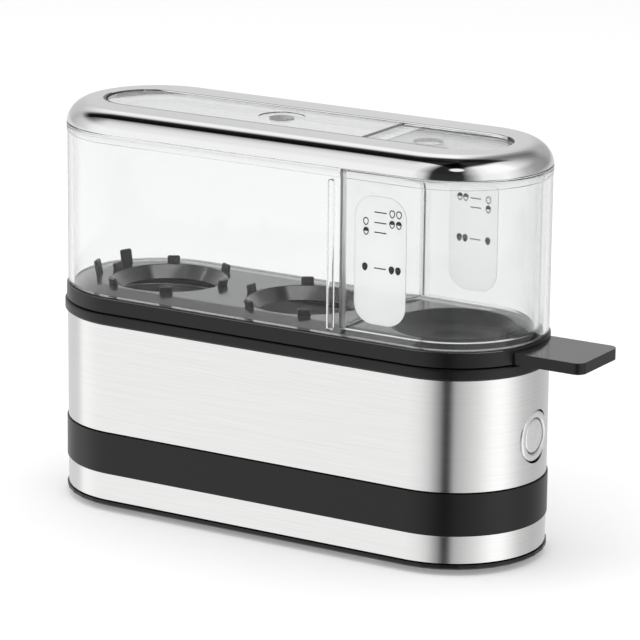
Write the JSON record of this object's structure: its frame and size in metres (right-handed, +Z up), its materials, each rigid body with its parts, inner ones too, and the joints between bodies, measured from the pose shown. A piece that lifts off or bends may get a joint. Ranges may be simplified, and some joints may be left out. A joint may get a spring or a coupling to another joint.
{
  "type": "electric egg boiler",
  "caption": "Slim electric egg boiler with a steel base, a lift-out tray with handle, and a clear hood with a chrome ring that stores a measuring cup.",
  "frame": {"origin": "middle of the bounding box at the floor, under the feet", "axes": "+X along the body towards the handle and the push button, +Z up, so the cord's gland is on the +Y side"},
  "size_m": [0.2018, 0.0638, 0.138],
  "materials": {
    "brushed_steel": "brushed along the body",
    "black_plastic": "satin",
    "chrome": "mirror polished",
    "clear_plastic": "clear and smooth",
    "frosted_plastic": "frosted",
    "rubber": "matt",
    "bright_steel": "bright",
    "aluminium": "milled",
    "ceramic": "matt",
    "board_green": "satin",
    "wire_insulation": "satin"
  },
  "bodies": {
    "base": {"bottom_plate": "black_plastic", "foot_1": "rubber", "foot_2": "rubber", "foot_3": "rubber", "foot_4": "rubber", "base_screw_1": "bright_steel", "base_screw_2": "bright_steel", "base_screw_3": "bright_steel", "base_screw_4": "bright_steel", "lower_sleeve": "brushed_steel", "upper_sleeve": "brushed_steel", "belt_band": "black_plastic", "cord_gland": "rubber", "inner_housing": "black_plastic", "top_rim": "black_plastic", "dish_seal": "rubber", "heating_dish": "bright_steel", "heat_spreader": "aluminium", "heating_element": "bright_steel", "element_pin_1": "bright_steel", "element_pin_2": "bright_steel", "element_clamp": "bright_steel", "clamp_screw_1": "bright_steel", "clamp_screw_2": "bright_steel", "thermostat": "ceramic", "thermal_fuse": "ceramic", "element_lead_1": "wire_insulation", "element_lead_2": "wire_insulation", "circuit_board": "board_green", "board_screw_1": "bright_steel", "board_screw_2": "bright_steel", "relay": "black_plastic", "terminal_block": "black_plastic", "capacitor": "black_plastic", "buzzer": "black_plastic", "button_bezel": "chrome", "button_guide": "black_plastic", "micro_switch": "black_plastic", "button_spring": "bright_steel"},
    "button": {"push_button": "chrome"},
    "tray": {"egg_tray": "black_plastic"},
    "hood": {"hood": "clear_plastic", "hood_ring": "chrome"},
    "cup": {"measuring_cup": "clear_plastic", "scale_pad_front": "frosted_plastic", "scale_pad_back": "frosted_plastic", "piercer_needle": "bright_steel"}
  },
  "joints": [
    {"name": "button_press", "type": "slide", "parent": "base", "child": "button", "axis": [-1, 0, 0], "range_m": [0, 0.0015], "stiffness_N_per_m": 400},
    {"name": "tray_lift", "type": "slide", "parent": "base", "child": "tray", "axis": [0, 0, 1], "range_m": [0, 0.05]},
    {"name": "hood_lift", "type": "slide", "parent": "tray", "child": "hood", "axis": [0, 0, 1], "range_m": [0, 0.13]},
    {"name": "cup_out", "type": "slide", "parent": "hood", "child": "cup", "axis": [0, 0, -1], "range_m": [0, 0.065]}
  ],
  "couplings": [
    {"joint": "cup_out", "follows": "hood_lift", "ratio": 0.5}
  ]
}
